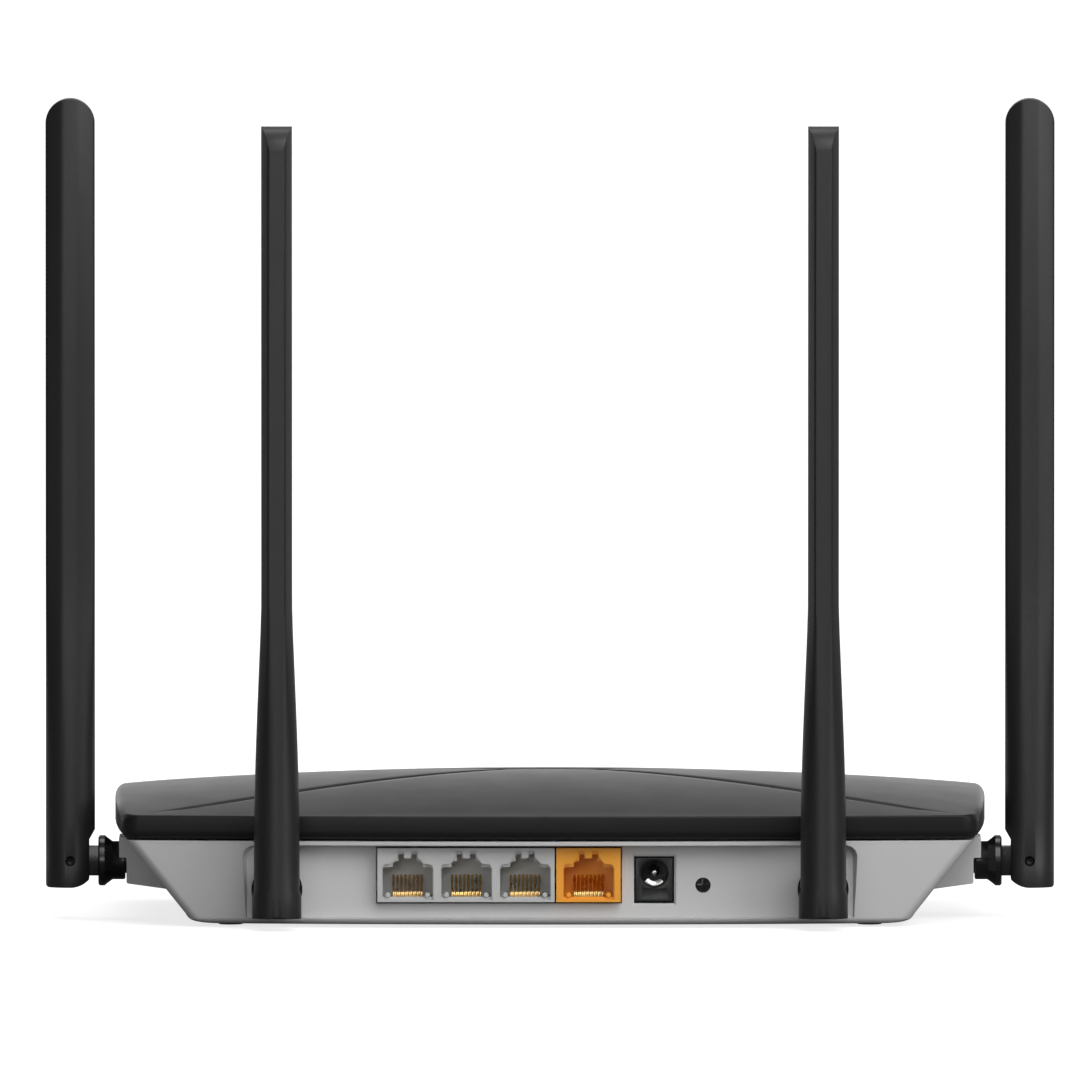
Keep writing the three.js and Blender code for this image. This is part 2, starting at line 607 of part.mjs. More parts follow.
const rearLead = [[46, 14, 7.5], [51, 26, 9.4], [60, 40, 9.4], [65.3, 50, 9.4], [65.3, 62, 9.4]];
const sideLead = [[50, 2, 7.5], [62, 6, 11], [80, 18, 14], [90, 22, 14], [101, 22, 14]];
for (const [word, side] of [["left", -1], ["right", 1]]) {
  const { x: rearX, y: rearY, z: rearZ } = rearAntenna;
  router.add(antenna(`rear_${word}`, { x: side * rearX, y: rearY, z: rearZ }, Math.PI / 2));
  const { x: sideX, y: sideY, z: sideZ } = sideAntenna;
  router.add(antenna(`side_${word}`, { x: side * sideX, y: sideY, z: sideZ }, side > 0 ? 0 : Math.PI));
  router.add(antennaLead(`rear_${word}_lead`, side, rearLead));
  router.add(antennaLead(`side_${word}_lead`, side, sideLead));
}

// the rear antennas reach further back than the casing does in front: the box is centred on the origin
router.position.y = (cover.halfDepth - (rearAntenna.y + blade.halfWidth)) / 2;

export default router;
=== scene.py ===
import math

import bmesh
import bpy
from mathutils import Matrix, Vector


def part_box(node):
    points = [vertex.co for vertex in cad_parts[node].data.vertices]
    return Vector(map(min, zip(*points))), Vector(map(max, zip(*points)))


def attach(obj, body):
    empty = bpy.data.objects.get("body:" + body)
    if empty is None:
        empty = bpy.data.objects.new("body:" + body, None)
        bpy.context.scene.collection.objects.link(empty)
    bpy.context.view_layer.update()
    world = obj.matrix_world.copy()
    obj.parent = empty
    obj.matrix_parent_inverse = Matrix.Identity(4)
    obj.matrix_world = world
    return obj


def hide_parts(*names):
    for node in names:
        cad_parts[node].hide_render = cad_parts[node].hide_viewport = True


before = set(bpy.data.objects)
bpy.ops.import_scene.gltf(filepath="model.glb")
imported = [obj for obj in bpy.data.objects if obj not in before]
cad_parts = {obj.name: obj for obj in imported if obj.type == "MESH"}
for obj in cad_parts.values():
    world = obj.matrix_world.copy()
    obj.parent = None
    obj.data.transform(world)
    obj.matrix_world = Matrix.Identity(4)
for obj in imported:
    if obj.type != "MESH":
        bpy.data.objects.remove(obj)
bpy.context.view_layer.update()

mm = 0.001  # shapes are worked out in millimetres and finished in metres
print("frame loaded:", len(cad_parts), "nodes")

# the casings are drawn round their own middle, which stands a little in front of the origin
coverLow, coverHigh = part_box("top_cover")
middleY = (coverLow.y + coverHigh.y) / 2 / mm
toCasing = Matrix.Translation((0, middleY, 0))


def inCasing(node):
    # a node's box in millimetres, from the casing's middle
    low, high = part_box(node)
    shift = Vector((0, middleY, 0))
    return low / mm - shift, high / mm - shift


# ---- meshes, in millimetres ----
def solid(name, points, faces):
    mesh = bpy.data.meshes.new(name)
    mesh.from_pydata(points, [], faces)
    work = bmesh.new()
    work.from_mesh(mesh)
    bmesh.ops.remove_doubles(work, verts=work.verts, dist=1e-4)
    bmesh.ops.recalc_face_normals(work, faces=work.faces)
    work.to_mesh(mesh)
    work.free()
    made = bpy.data.objects.new(name, mesh)
    bpy.context.scene.collection.objects.link(made)
    return made


def loft(name, rings, capped=True):
    # joins rings of equally many points, and closes the first and the last
    count = len(rings[0])
    points = [point for ring in rings for point in ring]
    faces = []
    for row in range(len(rings) - 1):
        for i in range(count):
            a = row * count + i
            b = row * count + (i + 1) % count
            faces.append((a, b, b + count, a + count))
    if capped:
        faces.append(tuple(reversed(range(count))))
        faces.append(tuple(range((len(rings) - 1) * count, len(rings) * count)))
    return solid(name, points, faces)


def block(low, high):
    (x0, y0, z0), (x1, y1, z1) = low, high
    square = [(x0, y0), (x1, y0), (x1, y1), (x0, y1)]
    return loft("block", [[(x, y, z) for x, y in square] for z in (z0, z1)])


def turned(profile, axis="Z", at=(0, 0, 0), sides=48):
    # profile holds (radius, height) pairs, and a flat face closes each end
    rings = []
    for radius, height in profile:
        angles = [2 * math.pi * i / sides for i in range(sides)]
        rings.append([(radius * math.cos(a), radius * math.sin(a), height) for a in angles])
    made = loft("turned", rings)
    turns = {"Z": Matrix(), "X": Matrix.Rotation(math.pi / 2, 4, "Y"), "Y": Matrix.Rotation(-math.pi / 2, 4, "X")}
    made.data.transform(Matrix.Translation(at) @ turns[axis])
    return made


def rod(radius, start, end, axis="Z", at=(0, 0, 0), sides=32):
    return turned([(radius, start), (radius, end)], axis, at, sides)


def slab(outline, start, end):
    # an outline of (x, z) points pushed along Y
    return loft("slab", [[(x, y, z) for x, z in outline] for y in (start, end)])


def arc(x, z, radius, start, end, steps):
    # points from one angle to the other, in degrees
    angles = [math.radians(start + (end - start) * i / steps) for i in range(steps + 1)]
    return [(x + radius * math.cos(a), z + radius * math.sin(a)) for a in angles]


def bentWires(paths, radius, sides=3):
    # round wires along smooth paths, as one mesh
    curve = bpy.data.curves.new("wires", "CURVE")
    curve.dimensions = "3D"
    curve.bevel_depth = radius
    curve.bevel_resolution = sides
    curve.resolution_u = 5
    curve.use_fill_caps = True
    for path in paths:
        spline = curve.splines.new("BEZIER")
        spline.bezier_points.add(len(path) - 1)
        for knot, place in zip(spline.bezier_points, path):
            knot.co = place
            knot.handle_left_type = knot.handle_right_type = "AUTO"
    made = bpy.data.objects.new("wires", curve)
    bpy.context.scene.collection.objects.link(made)
    meshed = bpy.data.objects.new("wires", settledMesh(made))
    bpy.context.scene.collection.objects.link(meshed)
    bpy.data.objects.remove(made)
    return meshed


def settledMesh(made):
    graph = bpy.context.evaluated_depsgraph_get()
    graph.update()
    return bpy.data.meshes.new_from_object(made.evaluated_get(graph))


def settled(made):
    # turns the modifiers into mesh
    mesh = settledMesh(made)
    made.modifiers.clear()
    made.data = mesh
    return made


def shaped(made, *changes):
    # each change is what is done and the solid that does it
    for how, other in changes:
        change = made.modifiers.new("shape", "BOOLEAN")
        change.operation = {"cut": "DIFFERENCE", "join": "UNION", "keep": "INTERSECT"}[how]
        change.solver = "EXACT"
        change.object = other
    settled(made)
    for _, other in changes:
        bpy.data.objects.remove(other)
    return made


def softened(made, width, segments=2, angle=32):
    # rounds every edge that is sharper than angle
    edges = made.modifiers.new("softEdges", "BEVEL")
    edges.width = width
    edges.segments = segments
    edges.limit_method = "ANGLE"
    edges.angle_limit = math.radians(angle)
    edges.use_clamp_overlap = True
    return settled(made)


def joined(*pieces):
    # several separate shells in one mesh
    work = bmesh.new()
    for piece in pieces:
        work.from_mesh(piece.data)
    work.to_mesh(pieces[0].data)
    work.free()
    for piece in pieces[1:]:
        bpy.data.objects.remove(piece)
    return pieces[0]


def welded(mesh, distance=0.004):
    # closes the hairline gaps that cuts and bevels leave
    work = bmesh.new()
    work.from_mesh(mesh)
    bmesh.ops.remove_doubles(work, verts=work.verts, dist=distance)
    bmesh.ops.dissolve_degenerate(work, edges=work.edges, dist=distance)
    work.to_mesh(mesh)
    work.free()


def finished(made, name, material, body, replaces=(), place=toCasing, smooth=38, even=False):
    # gives a shape its name, place, finish and body; even keeps broad flat faces in one shade
    made.name = name
    made.data.name = name
    welded(made.data)
    made.data.transform(Matrix.Scale(mm, 4) @ place)
    made.data.materials.clear()
    made.data.materials.append(material)
    for face in made.data.polygons:
        face.material_index = 0
    made.data.shade_smooth()
    made.data.set_sharp_from_angle(angle=math.radians(smooth))
    if even:
        made.modifiers.new("evenShading", "WEIGHTED_NORMAL").keep_sharp = True
        settled(made).data.name = name
    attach(made, body)
    if replaces:
        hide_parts(*replaces)
    return made


# ---- shaders ----
class Wire:
    # an output in a shader tree, on which arithmetic adds Math nodes
    def __init__(self, finish, socket):
        self.finish = finish
        self.socket = socket

    def maths(self, operation, *values):
        return self.finish.node("Math", {"operation": operation}, values)

    def output(self, key):
        # another output of the same node
        return Wire(self.finish, self.socket.node.outputs[key])

    def __add__(self, other):
        return self.maths("ADD", self, other)

    def __sub__(self, other):
        return self.maths("SUBTRACT", self, other)

    def __rsub__(self, other):
        return self.maths("SUBTRACT", other, self)

    def __mul__(self, other):
        return self.maths("MULTIPLY", self, other)

    __radd__ = __add__
    __rmul__ = __mul__


class Finish:
    # a material, world or light whose nodes are all made by node()
    def __init__(self, owner):
        owner.use_nodes = True
        self.owner = owner
        self.tree = owner.node_tree
        self.tree.nodes.clear()

    def node(self, kind, settings=None, values=(), output=0):
        made = self.tree.nodes.new("ShaderNode" + kind)
        for key, value in (settings or {}).items():
            setattr(made, key, value)
        for key, value in values.items() if isinstance(values, dict) else enumerate(values):
            self.feed(made.inputs[key], value)
        return Wire(self, made.outputs[output]) if made.outputs else None

    def feed(self, socket, value):
        if isinstance(value, Wire):
            self.tree.links.new(value.socket, socket)
        elif socket.type == "RGBA" and len(value) == 3:
            socket.default_value = (*value, 1)
        else:
            socket.default_value = value

    def place(self, stretch=(1, 1, 1)):
        # where a point is on its own piece, in metres
        here = self.node("TexCoord", output="Object")
        return self.node("VectorMath", {"operation": "MULTIPLY"}, {0: here, 1: stretch})

    def noise(self, size, detail=2.0, place=None):
        # size is the pattern's own size in millimetres
        values = {"Vector": place or self.place(), "Scale": 1 / (size * mm), "Detail": detail}
        return self.node("TexNoise", {}, values)

    def between(self, value, low, high, fromLow=0.3, fromHigh=0.7):
        return self.node("MapRange", {}, (value, fromLow, fromHigh, low, high))

    def blend(self, share, first, second):
        return self.node("Mix", {"data_type": "RGBA"}, {0: share, 6: first, 7: second}, 2)

    def bump(self, height, rise):
        return self.node("Bump", {}, {"Height": height, "Distance": rise * mm, "Strength": 1.0})

    def surface(self, **values):
        # the shader's sockets by name, with _ for a blank
        named = {key.replace("_", " "): value for key, value in values.items()}
        shader = self.node("BsdfPrincipled", {}, named)
        self.node("OutputMaterial", {}, {"Surface": shader})
        return self.owner


def newFinish(name):
    return Finish(bpy.data.materials.new(name))


def scaled(colour, share):
    return tuple(channel * share for channel in colour)


# ---- finishes ----
# grain and rise are the moulded texture's size and height in mm, cloud the share by which the shade drifts
plastics = {
    "coverPlastic": {"colour": (0.011, 0.011, 0.0114), "roughness": 0.4,
                     "grain": 0.32, "rise": 0.008, "cloud": 0.05, "shine": 0.2},
    "shellPlastic": {"colour": (0.56, 0.56, 0.562), "roughness": 0.5,
                     "grain": 0.28, "rise": 0.01, "cloud": 0.03},
    "antennaPlastic": {"colour": (0.012, 0.012, 0.0122), "roughness": 0.46,
                       "grain": 0.35, "rise": 0.014, "cloud": 0.1},
    "knucklePlastic": {"colour": (0.006, 0.006, 0.006), "roughness": 0.2,
                       "grain": 0.5, "rise": 0.003, "cloud": 0.1},
    "socketGrey": {"colour": (0.5, 0.505, 0.5), "roughness": 0.45,
                   "grain": 0.25, "rise": 0.006, "cloud": 0.04},
    "socketOrange": {"colour": (0.88, 0.36, 0.025), "roughness": 0.42,
                     "grain": 0.25, "rise": 0.006, "cloud": 0.05},
    "jackBlack": {"colour": (0.014, 0.014, 0.015), "roughness": 0.38,
                  "grain": 0.2, "rise": 0.006, "cloud": 0.1},
    "chipBlack": {"colour": (0.016, 0.016, 0.018), "roughness": 0.55,
                  "grain": 0.12, "rise": 0.008, "cloud": 0.12},
    "footRubber": {"colour": (0.11, 0.11, 0.11), "roughness": 0.78,
                   "grain": 0.18, "rise": 0.02, "cloud": 0.15},
    "leadSheath": {"colour": (0.02, 0.02, 0.02), "roughness": 0.5, "grain": 0.4, "rise": 0.01, "cloud": 0.1},
}


def mouldedPlastic(name):
    # spark-eroded tool texture, with a slow drift of shade and gloss as plastic has where it cooled unevenly
    look = plastics[name]
    made = newFinish(name)
    pebbles = made.node("TexVoronoi", {"feature": "SMOOTH_F1"}, {
        "Vector": made.place(), "Scale": 1 / (look["grain"] * mm), "Smoothness": 0.8})
    fine = made.noise(look["grain"] * 0.5, 3)
    drift = made.noise(26, 2)
    dark, light = scaled(look["colour"], 1 - look["cloud"]), scaled(look["colour"], 1 + look["cloud"])
    colour = made.blend(drift, dark, light)
    flow = made.noise(9, 4, made.place((1, 1, 0.4)))
    roughness = made.between(flow, look["roughness"] - 0.015, look["roughness"] + 0.015)
    return made.surface(Base_Color=colour, Roughness=roughness, Specular_IOR_Level=look.get("shine", 0.5),
                        Normal=made.bump(pebbles + fine * 0.5, look["rise"]))


# lines are the size of the drawn or stamped marks in mm, and run how far they stretch along each axis
metals = {
    "contactGold": {"colour": (0.83, 0.58, 0.24), "roughness": 0.24, "lines": 0.2, "run": (1, 0.1, 1)},
    "nickelSteel": {"colour": (0.62, 0.61, 0.59), "roughness": 0.26, "lines": 0.2, "run": (1, 0.15, 1)},
    "darkSteel": {"colour": (0.03, 0.03, 0.031), "roughness": 0.5, "lines": 0.15, "run": (1, 0.3, 1)},
    "screwSteel": {"colour": (0.5, 0.5, 0.5), "roughness": 0.3, "lines": 0.15, "run": (1, 1, 0.2)},
    "shieldTin": {"colour": (0.66, 0.66, 0.64), "roughness": 0.34, "lines": 0.4, "run": (0.1, 1, 1)},
    "finAluminium": {"colour": (0.6, 0.61, 0.62), "roughness": 0.42, "lines": 0.3, "run": (1, 0.08, 1)},
    "rodBrass": {"colour": (0.72, 0.5, 0.2), "roughness": 0.3, "lines": 0.2, "run": (1, 1, 0.1)},
}


def workedMetal(name):
    # fine marks along the way the metal was drawn, and dull patches from handling
    look = metals[name]
    made = newFinish(name)
    marks = made.noise(look["lines"], 4, made.place(look["run"]))
    patches = made.noise(3, 3)
    colour = made.blend(patches, scaled(look["colour"], 0.82), look["colour"])
    roughness = made.between(patches, look["roughness"] - 0.05, look["roughness"] + 0.1) + marks * 0.06
    return made.surface(Base_Color=colour, Roughness=roughness, Metallic=1.0, Normal=made.bump(marks, 0.006))


def solderMask():
    # green board with copper tracks just showing through
    made = newFinish("solderMask")
    tracks = made.node("TexVoronoi", {"feature": "DISTANCE_TO_EDGE", "distance": "MANHATTAN"}, {
        "Vector": made.place(), "Scale": 1 / (3.2 * mm), "Randomness": 0.8})
    track = made.between(tracks, 1, 0, 0.05, 0.09)
    weave = made.noise(0.6, 3)
    mask = made.blend(weave, (0.008, 0.06, 0.026), (0.012, 0.08, 0.035))
    colour = made.blend(track, mask, (0.03, 0.14, 0.055))
    return made.surface(Base_Color=colour, Roughness=made.between(weave, 0.24, 0.36),
                        Normal=made.bump(track + weave * 0.2, 0.03))


def clearPlastic():
    # light pipes, faintly cloudy and rippled
    made = newFinish("clearPlastic")
    cloud = made.noise(2.5, 3)
    colour = made.blend(cloud, (0.78, 0.82, 0.82), (0.9, 0.93, 0.93))
    return made.surface(Base_Color=colour, Roughness=made.between(cloud, 0.1, 0.24), Transmission_Weight=0.85,
                        IOR=1.49, Normal=made.bump(cloud, 0.02))


def labelStock():
    # coated paper with its fibres, and a thin printed border
    look = {"paper": (0.6, 0.6, 0.59), "ink": (0.2, 0.2, 0.2), "inset": 1.6, "line": 0.25}
    made = newFinish("labelStock")
    low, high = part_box("underside_label")
    spot = made.node("SeparateXYZ", {}, (made.place(),))
    halfX, halfY = (high.x - low.x) / 2, (high.y - low.y) / 2
    fromSide = halfX - spot.maths("ABSOLUTE", spot - (low.x + high.x) / 2)
    fromEnd = halfY - spot.maths("ABSOLUTE", spot.output("Y") - (low.y + high.y) / 2)
    nearest = spot.maths("MINIMUM", fromSide, fromEnd)
    line = spot.maths("COMPARE", nearest, look["inset"] * mm, look["line"] / 2 * mm)
    fibres = made.noise(0.3, 5, made.place((1, 0.3, 1)))
    paper = made.blend(fibres, scaled(look["paper"], 0.94), look["paper"])
    return made.surface(Base_Color=made.blend(line, paper, look["ink"]),
                        Roughness=made.between(fibres, 0.42, 0.55), Normal=made.bump(fibres, 0.006))


finishes = {name: mouldedPlastic(name) for name in plastics}
finishes.update({name: workedMetal(name) for name in metals})
finishes["solderMask"] = solderMask()
finishes["clearPlastic"] = clearPlastic()
finishes["labelStock"] = labelStock()
print("finishes made:", len(finishes))


# ---- top cover ----
topCover = {
    "halfWidth": (coverHigh.x - coverLow.x) / 2 / mm,
    "halfDepth": (coverHigh.y - coverLow.y) / 2 / mm,
    "corner": 4,
    "rearBow": 0.1,  # how far each edge bows, as a share of the half size
    "frontBow": 0.15,
    "sideBow": 0.02,
    "seamZ": 21.2,
    "rimZ": 26.9,
    "rise": 7.8,  # of the middle above the rim, and how it drops towards the ends
    "sag": 4,
    "endFall": 0.4,
    "rearRim": 0.45,  # edge radii
    "sideRim": 2.2,
    "foldX": 100.5,  # folds run from here on the rim to the ends of the ridge
    "ridgeX": 10,
    "grooveDepth": 1,
    "grooveWidth": 1.4,
    "wall": 2,
    "lightXs": (-15, -5, 5, 15),
    "lightY": -38,
    "lightRadius": 1.3,
}


def bowed(px, py, halfWidth, rear, front):
    # bows the straight edges of a rectangle outwards in the middle
    middle, halfDepth = (rear + front) / 2, (rear - front) / 2
    bow = topCover["rearBow"] if py > 0 else topCover["frontBow"]
    return (px * (1 - topCover["sideBow"] * (py / halfDepth) ** 2),
            middle + py * (1 - bow * (px / halfWidth) ** 2))


def onEdge(x, y, dx, dy, reach):
    # a point of the cover's outline, reach out from the middle of its corner's circle
    look = topCover
    return bowed(x + dx * reach, y + dy * reach, look["halfWidth"], look["halfDepth"], -look["halfDepth"])


def crownZ(x, y):
    across = abs(x) / topCover["halfWidth"]
    bow = topCover["rearBow"] if y > 0 else topCover["frontBow"]
    edgeY = topCover["halfDepth"] * (1 - bow * across**2)
    rise = topCover["rise"] - topCover["sag"] * across**2 - topCover["endFall"] * across**16
    return topCover["rimZ"] + rise * max(0, 1 - (y / edgeY) ** 2)


def smoothStep(value, low, high):
    share = min(1, max(0, (value - low) / (high - low)))
    return share * share * (3 - 2 * share)


def coverColumns():
    # one entry for each line from the rim up to the folds: where it leaves the corner's circle,
    # which way is out, its rim radius, and where it meets the fold or the ridge
    corner = topCover["corner"]
    foldX, ridgeX = topCover["foldX"], topCover["ridgeX"]
    coreY = topCover["halfDepth"] - corner
    foldY = topCover["halfDepth"] - topCover["rearRim"]
    quarter = []  # the +X +Y quarter, from the middle of the side to the middle of the rear
    for i in range(21):
        quarter.append((foldX, coreY * i / 20, 1, 0, topCover["sideRim"]))
    for i in range(1, 13):
        angle = math.pi / 2 * i / 12
        rim = topCover["rearRim"] + (topCover["sideRim"] - topCover["rearRim"]) * math.cos(angle) ** 1.5
        quarter.append((foldX, coreY, math.cos(angle), math.sin(angle), rim))
    heights = [(y + dy * (corner - rim)) / foldY for x, y, dx, dy, rim in quarter]
    columns = []
    for (x, y, dx, dy, rim), share in zip(quarter, heights):
        columns.append((x, y, dx, dy, rim, ridgeX + (foldX - ridgeX) * share, foldY * share, share))
    for share in reversed(heights[:-1]):
        x = ridgeX + (foldX - ridgeX) * share
        columns.append((x, coreY, 0, 1, topCover["rearRim"], x, foldY * share, share))
    for x in (7.5, 5, 2.5, 0):
        columns.append((x, coreY, 0, 1, topCover["rearRim"], x, 0, 0))

    def mirrored(entries, sx, sy):
        return [(x * sx, y * sy, dx * sx, dy * sy, rim, innerX * sx, innerY * sy, share)
                for x, y, dx, dy, rim, innerX, innerY, share in entries]

    loop = columns + mirrored(columns[-2::-1], -1, 1)
    loop += mirrored(columns[1:], -1, -1) + mirrored(columns[-2:0:-1], 1, -1)
    return loop


def coverRows(columns, rimInset, drop, grooved):
    # rows across the top, from the folds out to the rim
    look = topCover
    offsets = [0, 0.14, 0.3, 0.5, 0.75, 1]
    shares = [0.06, 0.14, 0.24, 0.35, 0.47, 0.6, 0.72, 0.83, 0.92, 1]
    slope = math.atan2(look["halfDepth"], look["foldX"] - look["ridgeX"])
    rows = []
    for row in range(len(offsets) + len(shares)):
        ring = []
        for x, y, dx, dy, rim, innerX, innerY, share in columns:
            reach = look["corner"] - max(rim, rimInset) if rimInset < 2 else look["corner"] - rimInset
            outX, outY = x + dx * reach, y + dy * reach
            length = math.hypot(outX - innerX, outY - innerY)
            tilt = math.cos(slope) if abs(dy) == 1 else math.sin(slope)
            if abs(innerX) < look["ridgeX"]:
                tilt = 1
            near = min(look["grooveWidth"] / tilt, length * 0.5)
            if row < len(offsets):
                distance = near * offsets[row]
            else:
                distance = near + (length - near) * shares[row - len(offsets)]
            along = distance / length if length > 1e-6 else 0
            px, py = innerX + (outX - innerX) * along, innerY + (outY - innerY) * along
            px, py = bowed(px, py, look["halfWidth"], look["halfDepth"], -look["halfDepth"])
            z = crownZ(px, py) - drop
            if grooved and row < len(offsets):
                fade = 1 - smoothStep(share, 0.68, 0.97)
                z -= look["grooveDepth"] * fade * (0.5 + 0.5 * math.cos(math.pi * offsets[row]))
            ring.append((px, py, z))
        rows.append(ring)
    return rows


def coverSkirt(columns):
    # rings down from the top, round the rim, over the band and under it to the seam
    look = topCover
    rings = []
    steps = [("rim", math.pi / 12 * i) for i in range(1, 7)] + [("band", 0.5), ("band", 1)]
    steps += [("under", math.pi / 12 * i) for i in range(1, 7)]
    for kind, value in steps:
        ring = []
        for x, y, dx, dy, rim, *_ in columns:
            reach = look["corner"] - rim
            px, py = onEdge(x, y, dx, dy, reach)
            topZ = crownZ(px, py)
            if kind == "rim":
                inset, z = rim * (1 - math.sin(value)), topZ - rim * (1 - math.cos(value))
            elif kind == "band":
                inset, z = 0, topZ - rim + (look["seamZ"] + 2.2 - topZ + rim) * value
            else:
                inset, z = 2.6 * (1 - math.cos(value)), look["seamZ"] + 2.2 * (1 - math.sin(value))
            reach = look["corner"] - inset
            px, py = onEdge(x, y, dx, dy, reach)
            ring.append((px, py, z))
        rings.append(ring)
    return rings


def coverLining(columns):
    # the inside of the rim, from the seam up to the underside
    look = topCover
    rings = []
    for inset, z in ((3.9, look["seamZ"]), (3, look["seamZ"] + 2.2)):
        reach = look["corner"] - inset
        ring = [onEdge(x, y, dx, dy, reach)
                for x, y, dx, dy, *_ in columns]
        rings.append([(x, y, z) for x, y in ring])
    return rings


def makeCover():
    columns = coverColumns()
    rings = coverRows(columns, 0, 0, True) + coverSkirt(columns) + coverLining(columns)
    rings += coverRows(columns, 3, topCover["wall"], False)[::-1]
    made = loft("cover", rings, capped=False)
    changes = [("cut", rod(topCover["lightRadius"], 24, 40, at=(x, topCover["lightY"], 0)))
               for x in topCover["lightXs"]]
    for spot in screwSpots:
        x, y = spot
        changes.append(("join", rod(3.4, 14.3, crownZ(x, y) - 1, at=(x, y, 0))))
        changes.append(("cut", rod(1.4, 0, 22, at=(x, y, 0), sides=24)))
    made = shaped(made, *changes)
    return finished(made, "cover", finishes["coverPlastic"], "case", ["top_cover"], smooth=30)


screwSpots = [(-68, 32), (68, 32), (-68, -30), (68, -30)]
makeCover()
print("cover made")


# ---- bottom shell ----
bottomShell = {
    "seamZ": 20.9,
    "slopeZ": 2.4,
    "footZ": 0.8,
    "floorZ": 2.8,
    "corner": 2.5,
    "innerCorner": 1.5,
    "top": (103.3, 63.6, -63.6),  # half width, rear and front of the flared wall at the seam
    "bottom": (88.2, 62.2, -52),  # and where it starts
    "toeRound": 2.3,
    "toeSide": 6.2,  # how far the toe curves in at the sides
    "lipRound": 0.3,
    "wall": 2,
}
panel = {
    "y": 57.5,  # outer face, sunk below the shell's rear edge
    "halfWidth": 72.5,
    "bottomZ": 2.4,
    "topZ": 19.6,
    "corner": 3,
    "draft": 0.5,  # at the top and bottom
    "sideDraft": 1.8,
    "bossX": 101.6,
    "bossY": 22,
    "bossZ": 14,  # of the side antennas' stems
    "hoodX": 103.4,  # of the hood over the side antenna's collar
    "hoodBore": 4.9,
    "stemXs": (-65.3, 65.3),
    "stemZ": 9.4,
    "stemHole": 3.4,
    "resetX": -36.6,
    "resetZ": 10.1,
    "resetHole": 1.85,
    "slotZ": 5.7,  # lower edge of the sockets' slots
}
underside = {
    "feet": [(-76.5, 44), (76.5, 44), (-75, -24), (75, -24)],
    "footHole": 3.5,
    "screwHole": 3,
    "screwSeatZ": 4.2,
    "pocketZ": 1.2,  # of the label's shallow pocket
    "ventXs": (-33, 33),
    "ventHalf": 11,
    "ventWidth": 1.8,
    "ventYs": tuple(-29.1 + 5 * row for row in range(6)),
    "boardSpots": [(-52, 24), (52, -34), (52, 24), (-52, -34)],
}


def shellRing(halfWidth, rear, front, corner, z):
    # a rounded rectangle with bowed edges at one height
    middle, halfDepth = (rear + front) / 2, (rear - front) / 2
    x, y = halfWidth - corner, halfDepth - corner
    loop = [(halfWidth, -y + 2 * y * i / 10) for i in range(10)]
    loop += arc(x, y, corner, 0, 90, 12)[:-1]
    loop += [(x - 2 * x * i / 36, halfDepth) for i in range(36)]
    loop += arc(-x, y, corner, 90, 180, 12)[:-1]
    loop += [(-halfWidth, y - 2 * y * i / 10) for i in range(10)]
    loop += arc(-x, -y, corner, 180, 270, 12)[:-1]
    loop += [(-x + 2 * x * i / 36, -halfDepth) for i in range(36)]
    loop += arc(x, -y, corner, 270, 360, 12)[:-1]
    return [(*bowed(px, py, halfWidth, middle + halfDepth, middle - halfDepth), z) for px, py in loop]


def wallRing(z, inset=0, endInset=0, corner=bottomShell["corner"]):
    # the flared wall at a height
    look = bottomShell
    share = (z - look["slopeZ"]) / (look["seamZ"] - look["slopeZ"])
    halfWidth, rear, front = [low + (high - low) * share for low, high in zip(look["bottom"], look["top"])]
    return shellRing(halfWidth - inset, rear - endInset, front + endInset, corner, z)


def shellBody():
    look = bottomShell
    halfWidth, rear, front = look["bottom"]
    toe = []
    for step in range(6, 0, -1):
        angle = math.pi / 12 * step
        inset = look["toeRound"] * (1 - math.cos(angle))
        sideInset = look["toeSide"] * (1 - math.cos(angle))
        z = look["slopeZ"] - (look["slopeZ"] - look["footZ"]) * math.sin(angle)
        toe.append(shellRing(halfWidth - sideInset, rear - inset, front + inset, look["corner"], z))
    wall = [wallRing(look["slopeZ"] + (look["seamZ"] - look["slopeZ"]) * step / 6) for step in range(6)]
    lip = look["lipRound"]
    edge = [wallRing(look["seamZ"] - lip), wallRing(look["seamZ"] - 0.3 * lip, 0.3 * lip, 0.3 * lip),
            wallRing(look["seamZ"], lip, lip)]
    return loft("shell", toe + wall + edge)


def shellRoom():
    # the space inside, less the port panel that closes its rear
    floorZ, topZ = bottomShell["floorZ"], bottomShell["seamZ"] + 1
    corner = bottomShell["innerCorner"]
    room = loft("room", [shellRing(84, 59.2, -49, corner, floorZ), wallRing(floorZ + 1, 2.8, 2.2, corner),
                         wallRing(topZ, 2.8, 2.2, corner)])
    half = panel["halfWidth"] + bottomShell["wall"] + 1
    return shaped(room, ("cut", block((-half, panel["y"] - bottomShell["wall"], 0), (half, 70, topZ + 2))))


def recessCut():
    # the sunk panel's room, a little wider at its mouth
    rings = []
    corner = panel["corner"]
    for y, share in ((panel["y"], 0), (panel["y"] + 4, 1), (70, 1)):
        grow = panel["draft"] * share
        half = panel["halfWidth"] + panel["sideDraft"] * share
        low, high = panel["bottomZ"] - grow * 0.4, panel["topZ"] + grow * 0.6
        outline = [(half, low)] + arc(half - corner, high - corner, corner, 0, 90, 10)
        outline += arc(corner - half, high - corner, corner, 90, 180, 10) + [(-half, low)]
        rings.append([(x, y, z) for x, z in outline])
    return loft("recess", rings)


